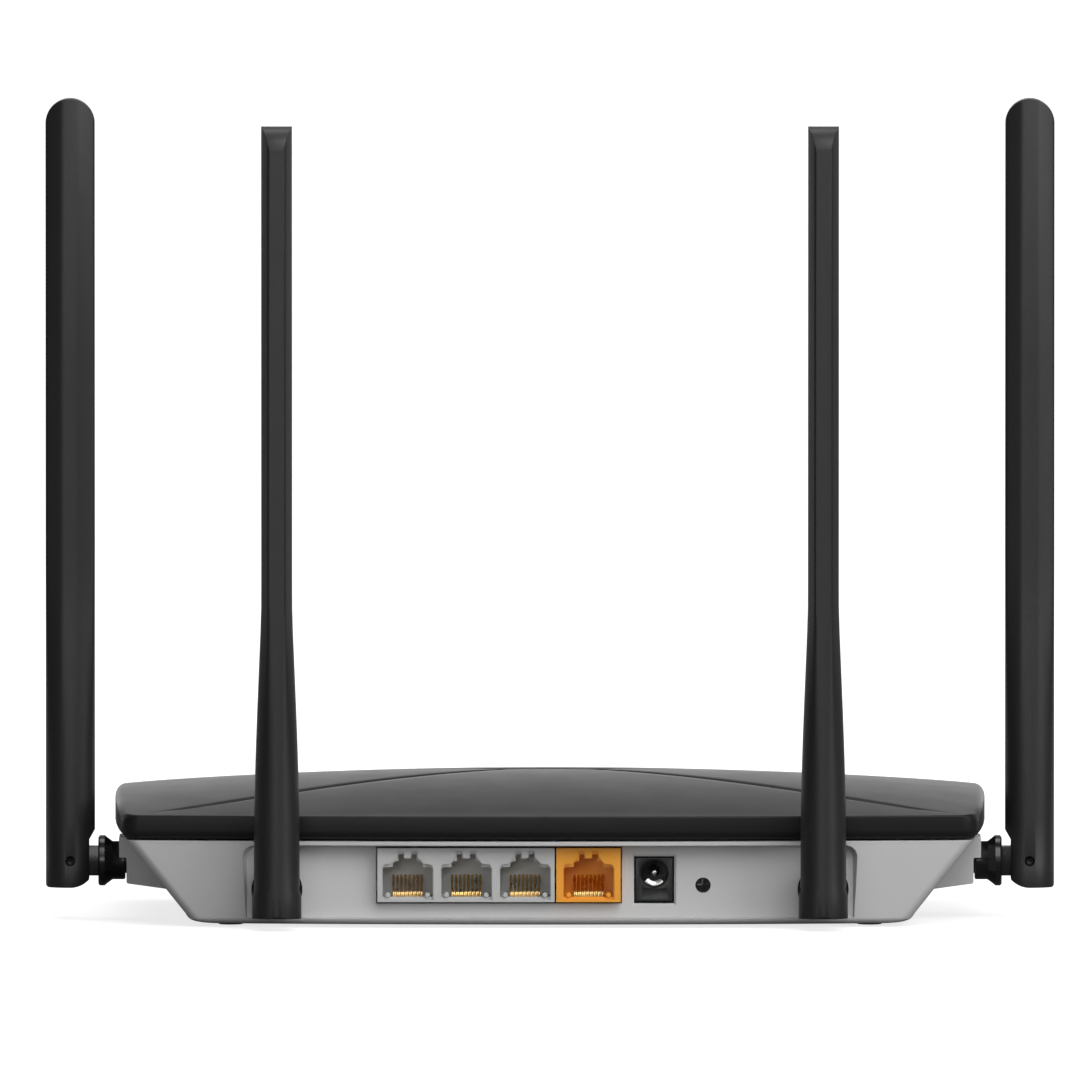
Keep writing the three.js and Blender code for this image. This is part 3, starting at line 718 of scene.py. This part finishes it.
def sideBoss(side):
    # the hollow boss that carries a side antenna, its room and its bore
    endX, hoodX, bossY, bossZ = [panel[key] for key in ("bossX", "hoodX", "bossY", "bossZ")]
    profile = [(88, 6.9), (endX, 8.8), (endX, 14.9), (hoodX, 14.9), (hoodX, 20), (97, 20)]
    body = softened(slab([(side * x, z) for x, z in profile], bossY - 7, bossY + 7), 0.3)
    body = shaped(body, ("cut", rod(panel["hoodBore"], side * endX, side * 110, "X", (0, bossY, bossZ))))
    room = ((84, 7.9), (99.6, 9.9), (99.6, 22), (84, 22))
    room = slab([(side * x, z) for x, z in room], bossY - 5, bossY + 5)
    bore = rod(panel["stemHole"], side * 95, side * 110, "X", (0, bossY, bossZ))
    return body, room, bore


def makeShell():
    made = shaped(shellBody(), ("cut", shellRoom()))
    for side in (-1, 1):
        body, room, bore = sideBoss(side)
        made = shaped(made, ("join", body), ("cut", room), ("cut", bore))
    back, front = panel["y"] - 3, panel["y"] + 1
    _, lanHigh = inCasing("lan_jack_block")
    wanLow, _ = inCasing("wan_jack")
    jackLow, jackHigh = inCasing("power_jack")
    gap = 0.3
    cuts = [recessCut(),
            block((wanLow.x - gap, back, panel["slotZ"]), (lanHigh.x + gap, front, lanHigh.z + 0.2)),
            block((jackLow.x - gap, back, panel["slotZ"]), (jackHigh.x + gap, front, jackHigh.z + gap)),
            rod(panel["resetHole"], back, front, "Y", (panel["resetX"], 0, panel["resetZ"]))]
    cuts += [rod(panel["stemHole"], back, front, "Y", (x, 0, panel["stemZ"])) for x in panel["stemXs"]]
    rings = []  # a bevel round the power socket's slot
    for y, grow in ((panel["y"] - 0.5, 0), (panel["y"], 0.5), (front, 1.5)):
        lowX, highX, topZ = jackLow.x - gap - grow, jackHigh.x + gap + grow, jackHigh.z + gap + grow
        lowZ = panel["slotZ"] - grow
        rings.append([(highX, y, lowZ), (highX, y, topZ), (lowX, y, topZ), (lowX, y, lowZ)])
    cuts.append(loft("jackBevel", rings))
    made = softened(shaped(made, *[("cut", cut) for cut in cuts]), 0.22)
    changes = []
    hole, seatZ = underside["screwHole"], underside["screwSeatZ"]
    for x, y in screwSpots:
        changes += [("join", turned([(4.6, 1.8), (4.6, 3), (4.2, 3.8), (4.2, 14)], at=(x, y, 0))),
                    ("cut", rod(1.4, 0, 15, at=(x, y, 0))),
                    ("cut", turned([(hole + 0.3, 0), (hole, 1.2), (hole, seatZ)], at=(x, y, 0)))]
    changes += [("join", rod(2.6, 1.8, 4, at=(x, y, 0))) for x, y in underside["boardSpots"]]
    changes += [("cut", rod(1.3, 1.8, 8, at=(x, y, 0))) for x, y in underside["boardSpots"][:2]]
    changes += [("cut", rod(underside["footHole"], 0, 1.7, at=(x, y, 0))) for x, y in underside["feet"]]
    labelLow, labelHigh = inCasing("underside_label")
    pocketLow = (labelLow.x - gap, labelLow.y - gap, 0)
    pocketHigh = (labelHigh.x + gap, labelHigh.y + gap, underside["pocketZ"])
    changes.append(("cut", block(pocketLow, pocketHigh)))
    for x in underside["ventXs"]:
        for y in underside["ventYs"]:
            half, wide = underside["ventHalf"], underside["ventWidth"] / 2
            outline = arc(x + half - wide, y, wide, -90, 90, 8) + arc(x - half + wide, y, wide, 90, 270, 8)
            changes.append(("cut", loft("vent", [[(px, py, z) for px, py in outline] for z in (0, 4)])))
    made = shaped(made, *changes)
    return finished(made, "shell", finishes["shellPlastic"], "case", ["bottom_shell"], smooth=30,
                    even=True)


makeShell()
print("shell made")


# ---- antennas ----
# each is made with its fold pin along Y through the origin, its blade up Z and the casing at -X
blade = {
    "halfWidth": 5.9,
    "foot": 6.35,
    "top": 183,
    # height, half crest, half thickness, half edge, and how far the section is rounded into an oval
    "levels": [(-8, 2.6, 5.9, 2.7, 0.9), (-0.6, 2.6, 5.9, 2.7, 0.9), (0.4, 2.6, 5.5, 2.6, 1),
               (10, 2.6, 5.45, 2.6, 1), (20, 2.5, 5.4, 2.6, 1), (28, 2.4, 5.2, 2.5, 0.95),
               (36, 2.3, 4.95, 2.4, 0.8), (44, 2.2, 4.65, 2.3, 0.6), (50, 2.1, 4.4, 2.2, 0.42), (56, 2.05, 4.15, 2.15, 0.25), (62, 1.95, 3.9, 2.05, 0.1),
               (68, 1.9, 3.72, 2, 0.03), (74, 1.9, 3.7, 2, 0), (120, 1.9, 3.7, 2, 0), (186, 1.9, 3.7, 2, 0)],
    "edgeRound": 0.3,
    "notch": ((-5.9, 7.5), (-4.5, 5.1)),  # clears the flange
    "heelRound": 0.8,
    "slotHalf": 2.8,
    "slotReach": 3.9,
    "pinHole": 1.15,
    "pinMouth": 1.35,
    "bore": 2.3,
    "boreTop": 156,
}


def bladeRing(z, crest, halfThickness, edge, oval):
    # points at even steps of angle round a softened eight-sided section, drawn towards an oval
    half = blade["halfWidth"]
    bevel = Vector((halfThickness - edge, half - crest)).normalized()
    reach = bevel.x * half + bevel.y * edge
    ring = []
    for i in range(96):
        angle = 2 * math.pi * (i + 0.5) / 96
        x, y = abs(math.cos(angle)), abs(math.sin(angle))
        sides = (x / half, y / halfThickness, (x * bevel.x + y * bevel.y) / reach)
        flat = sum(side**34 for side in sides) ** (-1 / 34)
        round_ = 1 / math.hypot(x / half, y / halfThickness)
        radius = flat + (round_ - flat) * oval
        ring.append((radius * math.cos(angle), radius * math.sin(angle), z))
    return ring


def bladeOutline():
    # the blade seen across its pin: the heel round on the casing's side and square on the other, a step
    # above the flange, straight edges and a round end
    look = blade
    half, foot, heelRound = look["halfWidth"], look["foot"], look["heelRound"]
    start = 180 + math.degrees(math.acos(-look["notch"][1][0] / foot))
    outline = list(look["notch"]) + arc(0, 0, foot, start, 270, 18)
    outline += arc(half - heelRound, heelRound - foot, heelRound, 270, 360, 8)
    outline += arc(0, look["top"] - half, half, 0, 180, 40)
    return outline


def makeBlade(side, turn):
    look = blade
    made = loft("blade", [bladeRing(*level) for level in look["levels"]])
    made = shaped(made, ("keep", slab(bladeOutline(), -8, 8)))
    slot = look["slotHalf"]
    made = shaped(made, ("cut", block((-9, -slot, -9), (look["slotReach"], slot, look["slotReach"]))),
                  ("cut", rod(look["pinHole"], -8, 8, "Y", sides=40)),
                  *[("cut", rod(look["pinMouth"], *ends, "Y", sides=40)) for ends in ((-8, -4.7), (4.7, 8))])
    made = softened(made, look["edgeRound"], 3, 38)
    made = shaped(made, ("cut", rod(look["bore"], 0, look["boreTop"])))
    return finished(made, side + "_blade", finishes["antennaPlastic"], side + "_blade",
                    [side + "_antenna_sleeve"], turn, 30)


knuckleLook = {
    "tongueHalf": 3.6,
    "tongueWide": 2.5,
    "flangeX": 6.7,
    "leadBore": 1.3,
    # radius and distance from the fold pin: flange, cone, collar, stem, barb and tip
    "profile": [(5.7, 6.7), (6.1, 7.05), (6.1, 8.2), (5.75, 8.6), (4.75, 9.9), (4.6, 10.2), (4.6, 12.9),
                (4.3, 13.2), (3.1, 13.2), (3.1, 15.8), (3.7, 16.2), (3.7, 16.8), (2.9, 18.5)],
}


def makeKnuckle(side, turn):
    look = knuckleLook
    half, wide = look["tongueHalf"], look["tongueWide"]
    eye = slab(arc(0, 0, half, -90, 90, 24) + [(-look["flangeX"] - 0.5, half), (-look["flangeX"] - 0.5, -half)],
               -wide, wide)
    eye = softened(eye, 0.3, 3, 50)
    mount = turned([(radius, -reach) for radius, reach in reversed(look["profile"])], "X", sides=64)
    made = shaped(mount, ("join", eye), ("cut", rod(look["leadBore"], -20, -3.2, "X")),
                  ("cut", rod(blade["pinHole"], -7, 7, "Y")))
    return finished(made, side + "_knuckle", finishes["knucklePlastic"], side + "_mount",
                    [side + "_antenna_knuckle"], turn, 35)


def makeFoldPin(side, turn):
    # a plain pin with chamfered and dimpled ends
    made = turned([(0.1, -4.5), (0.5, -4.75), (0.8, -4.8), (1.1, -4.5), (1.1, 4.5), (0.8, 4.8), (0.5, 4.75),
                   (0.1, 4.5)], "Y")
    return finished(made, side + "_fold_pin", finishes["darkSteel"], side + "_blade",
                    [side + "_antenna_pin"], turn)


def makeRadiator(side, turn):
    # a brass whip with a crimped sleeve, up the middle of the blade
    profile = [(0.4, 12), (0.6, 12.4), (0.6, 59.6), (1.5, 60), (1.8, 60.4)]
    for crimp in (66, 78, 90):
        profile += [(1.8, crimp - 0.6), (1.55, crimp), (1.8, crimp + 0.6)]
    profile += [(1.8, 95.6), (1.5, 96), (0.6, 96.4), (0.6, 149.6), (0.4, 150)]
    made = turned(profile, sides=24)
    return finished(made, side + "_radiator", finishes["rodBrass"], side + "_blade",
                    [side + "_antenna_radiator"], turn)


def makeAntennas():
    for side, quarterTurns in (("rear_left", 1), ("rear_right", 1), ("side_left", 2), ("side_right", 0)):
        low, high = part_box(side + "_antenna_pin")
        turn = Matrix.Translation((low + high) / 2 / mm) @ Matrix.Rotation(math.pi / 2 * quarterTurns, 4, "Z")
        for make in (makeBlade, makeKnuckle, makeFoldPin, makeRadiator):
            make(side, turn)


makeAntennas()
print("antennas made")


# ---- sockets ----
networkSocket = {
    # half widths and heights, from the floor up one side to the latch's slit and the rib beside it
    "mouth": [(6.2, 6.75), (6.2, 14.2), (5.6, 15.2), (3.9, 15.35), (2.45, 17.0), (2.45, 18.35),
              (0.85, 18.35), (0.85, 16.7)],
    "room": [(5.95, 7.4), (5.95, 14.1), (5.5, 14.5), (3.5, 14.6), (3.5, 15.4), (3.1, 15.9), (2.2, 16.0),
             (2.2, 17.6), (0.9, 17.6), (0.9, 16.65)],
    "mouthDepth": 0.9,
    "roomDepth": 9.5,
    "postX": 4.75,
    "edgeRound": 0.18,
}


def mirroredOutline(half, x):
    return [(x + px, z) for px, z in half] + [(x - px, z) for px, z in reversed(half)]


def makeNetworkSocket(name, node, xs, material):
    look = networkSocket
    low, high = inCasing(node)
    made = block(low, high)
    face = high.y
    for x in xs:
        mouth = [[(px, y, pz) for px, pz in mirroredOutline(look["mouth"], x)]
                 for y in (face - look["mouthDepth"], face + 1)]
        room = [[(px, y, pz) for px, pz in mirroredOutline(look["room"], x)]
                for y in (face - look["roomDepth"], face - look["mouthDepth"] / 2)]
        made = shaped(made, ("cut", loft("mouth", mouth)), ("cut", loft("room", room)))
    made = softened(made, look["edgeRound"], 2, 40)
    posts = [turned([(0.62, -1.6), (0.62, -0.5), (0.45, -0.25)], "Y", (x + side * look["postX"], face, 7.85), 24)
             for x in xs for side in (-1, 1)]
    made = joined(made, *posts)
    return finished(made, name, material, "case", [node], smooth=30)


combLook = {"wireRadius": 0.3, "pitch": 0.96, "barHalf": 3.7}


def makeComb(name, node, x):
    # eight sprung wires out of a bar, turned over at the mouth and rising towards the back
    look = combLook
    low, high = inCasing(node)
    face = high.y
    paths = []
    for wire in range(8):
        wx = x + (wire - 3.5) * look["pitch"]
        paths.append([(wx, face - 1.2, low.z - 0.5), (wx, face - 0.5, low.z - 0.6), (wx, face - 0.35, low.z),
                      (wx, face - 0.6, low.z + 0.75), (wx, face - 3.5, low.z + 2), (wx, face - 8.2, low.z + 4.4)])
    wires = bentWires(paths, look["wireRadius"])
    bar = block((x - look["barHalf"], face - 0.88, low.z - 0.9), (x + look["barHalf"], face - 0.55, low.z + 0.9))
    bar = softened(bar, 0.12)
    made = joined(wires, bar)
    return finished(made, name, finishes["contactGold"], "case", [node])


powerSocket = {"boreRadius": 3.1, "boreZ": 12.9, "frameRound": 0.25}


def makePowerSocket():
    look = powerSocket
    low, high = inCasing("power_jack")
    x, face, back = (low.x + high.x) / 2, high.y, low.y
    boreZ = look["boreZ"]
    made = softened(block(low, high), look["frameRound"], 3)
    bore = look["boreRadius"]
    ring = turned([(bore, back + 3), (bore, face - 0.5), (bore + 0.5, face + 0.1)], "Y", (x, 0, boreZ), 64)
    ramp = slab([(x - 2.9, 6.9), (x + 2.9, 6.9), (x + 2.9, 9.3), (x - 2.9, 9.3)], face - 0.35, face + 1)
    made = shaped(made, ("cut", ring), ("cut", rod(1.3, back - 1, back + 4, "Y", (x, 0, boreZ))),
                  ("cut", block((x - 2.6, back + 3, 9.2), (x + 2.6, face - 0.6, 11.5))), ("cut", ramp))
    made = softened(made, 0.12, 2, 45)
    finished(made, "power_socket", finishes["jackBlack"], "case", ["power_jack"], smooth=35)

    pinLow, pinHigh = inCasing("power_pin")
    start, end = pinLow.y, pinHigh.y
    profile = [(0.8, start), (1, start + 0.2), (1, end - 0.9), (0.9, end - 0.45), (0.6, end - 0.1), (0.25, end)]
    pin = turned(profile, "Y", (x, 0, boreZ), 40)
    finished(pin, "power_socket_pin", finishes["nickelSteel"], "case", ["power_pin"])

    # the leaf is dished to the plug and thickened to a sloping lip at its mouth
    rings = []
    for share in range(14):
        y = back + 3.6 + 9.1 * min(share, 12) / 12 + (0.45 if share == 13 else 0)
        lift = 0.35 * math.sin(math.pi * share / 12) if share < 12 else 0
        outer = arc(x, boreZ, 3.0 - lift, 222, 318, 12)
        inner = arc(x, boreZ, (1.9 if share == 12 else 2.65) - lift, 318, 222, 12)
        rings.append([(px, y, pz) for px, pz in outer + inner])
    finished(loft("leaf", rings), "power_socket_leaf", finishes["nickelSteel"], "case", ["power_spring"])


def makeResetButton():
    # a cross-shaped plunger in the round hole, on a collar and a tail
    look = {"armHalf": 1.5, "armThick": 0.32, "collar": 2.6, "tail": 1.1}
    low, high = inCasing("reset_button")
    x, z = (low.x + high.x) / 2, (low.z + high.z) / 2
    collarY = low.y + 1.8
    shank = turned([(look["tail"] - 0.2, low.y), (look["tail"], low.y + 0.2), (look["tail"], collarY - 1),
                    (look["collar"] - 0.15, collarY - 1), (look["collar"], collarY - 0.85),
                    (look["collar"], collarY - 0.15), (look["collar"] - 0.15, collarY)], "Y", (x, 0, z))
    half, thick = look["armHalf"], look["armThick"]
    across = softened(block((x - half, collarY - 0.5, z - thick), (x + half, high.y, z + thick)), 0.1)
    upright = softened(block((x - thick, collarY - 0.5, z - half), (x + thick, high.y, z + half)), 0.1)
    made = shaped(shank, ("join", across), ("join", upright))
    finished(made, "reset_plunger", finishes["knucklePlastic"], "reset_button_body", ["reset_button"])


lanXs = [6 + 14.05 * i for i in range(3)]
makeNetworkSocket("lan_sockets", "lan_jack_block", lanXs, finishes["socketGrey"])
for number, x in enumerate(lanXs, 1):
    makeComb(f"lan_comb_{number}", f"lan_contacts_{number}", x)
makeNetworkSocket("wan_socket", "wan_jack", [-9.2], finishes["socketOrange"])
makeComb("wan_comb", "wan_contacts", -9.2)
makePowerSocket()
makeResetButton()
print("sockets made")


# ---- feet, screws, label and light pipes ----
def makeFoot(corner):
    # a soft pad with a dished tread
    low, high = inCasing("foot_" + corner)
    x, y, radius = (low.x + high.x) / 2, (low.y + high.y) / 2, (high.x - low.x) / 2
    made = turned([(0.3, 0.25), (radius - 1.2, 0.25), (radius - 1, 0.05), (radius - 0.8, 0), (radius - 0.45, 0),
                   (radius - 0.1, 0.2), (radius, 0.5), (radius, high.z)], at=(x, y, 0))
    finished(made, corner + "_foot", finishes["footRubber"], "case", ["foot_" + corner])


def makeCaseScrew(corner):
    # a pan head with a cross recess, on a threaded shank
    low, high = inCasing("case_screw_" + corner)
    x, y, headZ = (low.x + high.x) / 2, (low.y + high.y) / 2, low.z
    profile = [(1.6, headZ), (2.2, headZ + 0.25), (2.55, headZ + 0.8), (2.6, headZ + 1.6), (1.1, headZ + 1.6)]
    z = headZ + 2.2
    while z < high.z - 1.6:
        profile += [(0.92, z), (1.1, z + 0.3), (0.92, z + 0.6)]
        z += 0.8
    profile += [(0.9, high.z - 1), (0.1, high.z)]
    made = turned(profile, at=(x, y, 0), sides=24)
    for turn in (0, math.pi / 2):
        arm = loft("arm", [[(-x, -y, z), (x, -y, z), (x, y, z), (-x, y, z)]
                           for x, y, z in ((1.5, 0.3, headZ - 0.2), (0.7, 0.2, headZ + 1))])
        arm.data.transform(Matrix.Translation((x, y, 0)) @ Matrix.Rotation(turn, 4, "Z"))
        made = shaped(made, ("cut", arm))
    finished(made, corner + "_case_screw", finishes["screwSteel"], "case", ["case_screw_" + corner])


def makeLabel():
    # a thin sheet with rounded corners
    low, high = inCasing("underside_label")
    radius = 1.5
    outline = []
    for cx, cy, start in ((high.x - radius, high.y - radius, 0), (low.x + radius, high.y - radius, 90),
                          (low.x + radius, low.y + radius, 180), (high.x - radius, low.y + radius, 270)):
        outline += arc(cx, cy, radius, start, start + 90, 8)
    made = loft("label", [[(x, y, z) for x, y in outline] for z in (low.z, high.z)])
    finished(made, "label", finishes["labelStock"], "case", ["underside_label"])


def makeLightPipes():
    # four clear pipes with domed ends, rising out of one bar
    low, high = inCasing("light_guide")
    y = topCover["lightY"]
    made = softened(block((low.x, low.y, low.z), (high.x, high.y, low.z + 2)), 0.3)
    for x in topCover["lightXs"]:
        endZ = crownZ(x, y) - 0.1
        profile = [(1.5, low.z + 1), (1.5, low.z + 2), (1, low.z + 3.2), (1, endZ - 0.5), (0.8, endZ - 0.15),
                   (0.4, endZ)]
        pipe = turned(profile, at=(x, y, 0), sides=32)
        made = shaped(made, ("join", pipe))
    finished(made, "light_pipes", finishes["clearPlastic"], "case", ["light_guide"])


for corner in ("rear_left", "rear_right", "front_left", "front_right"):
    makeFoot(corner)
    makeCaseScrew(corner)
makeLabel()
makeLightPipes()
print("fittings made")


# ---- sealed inside: shapes as they are, with their real finishes ----
insideFinishes = {
    "solderMask": ["main_board"],
    "chipBlack": ["processor", "lan_transformer", "wan_transformer", "inductor", "reset_switch"],
    "finAluminium": ["heat_sink", "capacitor_1", "capacitor_2"],
    "shieldTin": ["radio_shield_left", "radio_shield_right"],
    "screwSteel": ["board_screw_1", "board_screw_2"],
    "clearPlastic": [f"status_led_{number}" for number in range(1, 5)],
    "leadSheath": [f"{place}_{side}_lead" for place in ("rear", "side") for side in ("left", "right")],
}
for finish, names in insideFinishes.items():
    for name in names:
        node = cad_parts[name]
        node.data.materials.clear()
        node.data.materials.append(finishes[finish])
print("inside finished")


# ---- floor, light and camera ----
studio = {
    "floorShade": 0.5,
    "floorBounce": 0.2,  # the floor's shade as a light on the object
    "glowNear": 0.76,  # keeps the floor white in the picture, fully so from glowReach metres out
    "glowFar": 1.0,
    "glowReach": 0.9,
    "skyBase": 0.05,
    "skyTop": 0.25,
    "skyBehind": 2.4,
}
# place and aim in metres, then width, height and watts
softboxes = {
    "frontTop": ((-0.4, 1.35, 1.25), (0, 0, 0.04), 1.1, 1.5, 19),
    "lowFill": ((0.35, 1.8, 0.3), (0, 0, 0.02), 0.8, 0.5, 4),
    "sideStrip": ((-1.4, 1.05, 0.7), (0, 0, 0.1), 1.0, 1.2, 13),
    "overhead": ((0.1, -0.35, 1.6), (0, 0, 0), 1.2, 0.7, 8),
}


def makeFloor():
    made = solid("floor", [(-9, -9, 0), (9, -9, 0), (9, 9, 0), (-9, 9, 0)], [(0, 1, 2, 3)])
    paint = newFinish("floorPaint")
    seen = paint.node("LightPath")
    tone = seen * (studio["floorShade"] - studio["floorBounce"]) + studio["floorBounce"]
    matt = paint.node("BsdfDiffuse", {}, {"Color": paint.blend(tone, (0, 0, 0), (1, 1, 1))})
    away = paint.node("VectorMath", {"operation": "LENGTH"}, (paint.place(),), "Value")
    level = paint.between(away, studio["glowNear"], studio["glowFar"], 0.1, studio["glowReach"])
    glow = paint.node("Emission", {}, {"Strength": seen * level})
    both = paint.node("AddShader", {}, (matt, glow))
    paint.node("OutputMaterial", {}, {"Surface": both})
    made.data.materials.append(paint.owner)


def makeSky():
    # white behind the object; as light it is dim, but brighter low down behind and a little from above
    sky = Finish(bpy.data.worlds.new("studioSky"))
    bpy.context.scene.world = sky.owner
    direction = sky.node("SeparateXYZ", {}, (sky.node("TexCoord", output="Generated"),))
    behind = sky.between(direction.output("Y") * -1, 0, studio["skyBehind"], 0.3, 0.95)
    low = sky.between(direction.output("Z"), 1, 0.15, 0, 0.55)
    above = sky.between(direction.output("Z"), 0, studio["skyTop"], 0.4, 1)
    dim = sky.node("Background", {}, {"Strength": behind * low + above + studio["skyBase"]})
    white = sky.node("Background", {}, {"Strength": 1.0, "Color": (1, 1, 1)})
    both = sky.node("MixShader", {}, (sky.node("LightPath"), dim, white))
    sky.node("OutputWorld", {}, {"Surface": both})


def softbox(name, place, aim, width, height, watts):
    lamp = bpy.data.lights.new(name, "AREA")
    lamp.shape = "RECTANGLE"
    lamp.size, lamp.size_y, lamp.energy = width, height, watts
    made = bpy.data.objects.new(name, lamp)
    made.location = place
    made.rotation_euler = (Vector(aim) - Vector(place)).to_track_quat("-Z", "Y").to_euler()
    bpy.context.scene.collection.objects.link(made)


def makeCamera():
    # a long lens, a little above the sockets' level
    view = {"lens": 1500, "frameWidth": 258.3, "elevation": 3, "aimX": 2.4, "aimZ": 92.8, "aimY": 51.5}
    lens = bpy.data.cameras.new("camera")
    lens.lens = view["lens"]
    lens.clip_start, lens.clip_end = 0.1, 60
    made = bpy.data.objects.new("camera", lens)
    distance = view["frameWidth"] * view["lens"] / lens.sensor_width * mm
    lift = math.radians(view["elevation"])
    back = Vector((0, math.cos(lift), math.sin(lift)))
    made.location = Vector((view["aimX"], view["aimY"], view["aimZ"])) * mm + back * distance
    made.rotation_euler = (-back).to_track_quat("-Z", "Y").to_euler()
    bpy.context.scene.collection.objects.link(made)
    bpy.context.scene.camera = made


makeFloor()
makeSky()
for name, settings in softboxes.items():
    softbox(name, *settings)
makeCamera()
bpy.context.scene.view_settings.view_transform = "Standard"
print("stage set")
